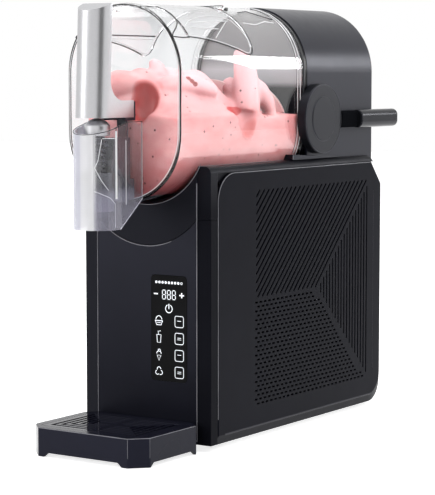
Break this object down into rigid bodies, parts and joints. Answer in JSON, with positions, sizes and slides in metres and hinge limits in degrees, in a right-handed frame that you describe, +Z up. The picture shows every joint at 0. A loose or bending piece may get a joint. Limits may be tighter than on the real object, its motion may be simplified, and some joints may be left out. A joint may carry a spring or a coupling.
{
  "type": "ice cream maker",
  "caption": "Counter-top soft-serve and slush machine: clear vessel with an auger on a cooled drum, lever tap, lift-out drip tray, touch display and a vented cabinet.",
  "frame": {"origin": "middle of the machine's footprint, on the worktop", "axes": "+X to the right seen from the front, -Y out of the tap side, +Z up"},
  "size_m": [0.17, 0.456, 0.43],
  "materials": {
    "charcoal_body": "satin",
    "cover_grey": "satin",
    "display_black": "gloss",
    "clear_plastic": "clear",
    "silver_cast": "satin",
    "mix_pink": "frozen",
    "smoked_plastic": "gloss",
    "white_plastic": "satin",
    "stainless": "brushed",
    "galvanised": "dull",
    "black_rubber": "matt",
    "copper_line": "drawn",
    "black_paint": "semi-gloss",
    "bare_aluminium": "mill",
    "nylon": "moulded",
    "board_green": "coated",
    "filter_black": "felt",
    "lock_black": "semi-gloss",
    "black_screw": "blackened"
  },
  "bodies": {
    "machine": {"base_pan": "galvanised", "rubber_feet": "black_rubber", "column_frame": "charcoal_body", "front_panel": "charcoal_body", "display_glass": "display_black", "display_board": "board_green", "control_board": "board_green", "cradle": "charcoal_body", "side_cover_right": "cover_grey", "side_cover_left": "cover_grey", "dust_filter_right": "filter_black", "dust_filter_left": "filter_black", "rear_cover": "cover_grey", "cover_screws": "black_screw", "mains_inlet": "lock_black", "compressor": "black_paint", "compressor_grommets": "black_rubber", "condenser": "bare_aluminium", "fan_frame": "lock_black", "fan_motor": "galvanised", "suction_line": "copper_line", "liquid_line": "copper_line", "discharge_line": "copper_line", "motor_housing": "charcoal_body", "housing_bulkhead": "charcoal_body", "evaporator_drum": "stainless", "gear_plate": "galvanised", "shaft_bush": "copper_line", "gear_motor": "galvanised"},
    "auger": {"auger": "white_plastic", "drive_shaft": "stainless", "drive_gear": "nylon"},
    "pinion": {"motor_pinion": "stainless", "motor_shaft": "stainless"},
    "fan": {"fan_rotor": "lock_black"},
    "lever_right": {"lock_hub_right": "lock_black", "lock_clip_right": "stainless", "lock_cap_right": "lock_black", "lock_lever_right": "lock_black"},
    "lever_left": {"lock_hub_left": "lock_black", "lock_clip_left": "stainless", "lock_cap_left": "lock_black", "lock_lever_left": "lock_black"},
    "vessel": {"vessel": "clear_plastic", "vessel_seal": "black_rubber", "frozen_mix": "mix_pink", "spout_body": "smoked_plastic", "spout_shroud": "clear_plastic", "valve_spring": "stainless", "handle_pin": "stainless"},
    "lid": {"fill_lid": "clear_plastic", "hinge_pin": "stainless"},
    "handle": {"dispense_handle": "silver_cast"},
    "plunger": {"valve_plunger": "smoked_plastic", "plunger_seal": "black_rubber", "plunger_cap": "silver_cast"},
    "tray": {"drip_tray": "charcoal_body"},
    "grate": {"drip_grate": "charcoal_body"}
  },
  "joints": [
    {"name": "auger_spin", "type": "hinge", "parent": "machine", "child": "auger", "pos_m": [0, 0, 0.3065], "axis": [0, 1, 0], "continuous": true},
    {"name": "pinion_spin", "type": "hinge", "parent": "machine", "child": "pinion", "pos_m": [0, 0.098, 0.3515], "axis": [0, 1, 0], "continuous": true},
    {"name": "fan_spin", "type": "hinge", "parent": "machine", "child": "fan", "pos_m": [0.02, 0.112, 0.106], "axis": [1, 0, 0], "continuous": true},
    {"name": "lever_right_lift", "type": "hinge", "parent": "machine", "child": "lever_right", "pos_m": [0.072, 0.0805, 0.3155], "axis": [1, 0, 0], "range_deg": [0, 90]},
    {"name": "lever_left_lift", "type": "hinge", "parent": "machine", "child": "lever_left", "pos_m": [-0.072, 0.0805, 0.3155], "axis": [1, 0, 0], "range_deg": [0, 90]},
    {"name": "vessel_slide", "type": "slide", "parent": "machine", "child": "vessel", "axis": [0, -1, 0], "range_m": [0, 0.24]},
    {"name": "lid_open", "type": "hinge", "parent": "vessel", "child": "lid", "pos_m": [0, -0.026, 0.4264], "axis": [-1, 0, 0], "range_deg": [0, 95]},
    {"name": "handle_pull", "type": "hinge", "parent": "vessel", "child": "handle", "pos_m": [0, -0.173, 0.328], "axis": [1, 0, 0], "range_deg": [0, 25], "stiffness_Nm_per_rad": 1, "springref_deg": -14.32},
    {"name": "plunger_drop", "type": "slide", "parent": "vessel", "child": "plunger", "axis": [0, 0, -1], "range_m": [0, 0.0158], "deforming": ["valve_spring"]},
    {"name": "tray_slide", "type": "slide", "parent": "machine", "child": "tray", "axis": [0, -1, 0], "range_m": [0, 0.06]},
    {"name": "grate_lift", "type": "slide", "parent": "tray", "child": "grate", "axis": [0, 0, 1], "range_m": [0, 0.04]}
  ],
  "couplings": [
    {"joint": "pinion_spin", "follows": "auger_spin", "ratio": -3},
    {"joint": "plunger_drop", "follows": "handle_pull", "m_per_rad": 0.0361}
  ]
}
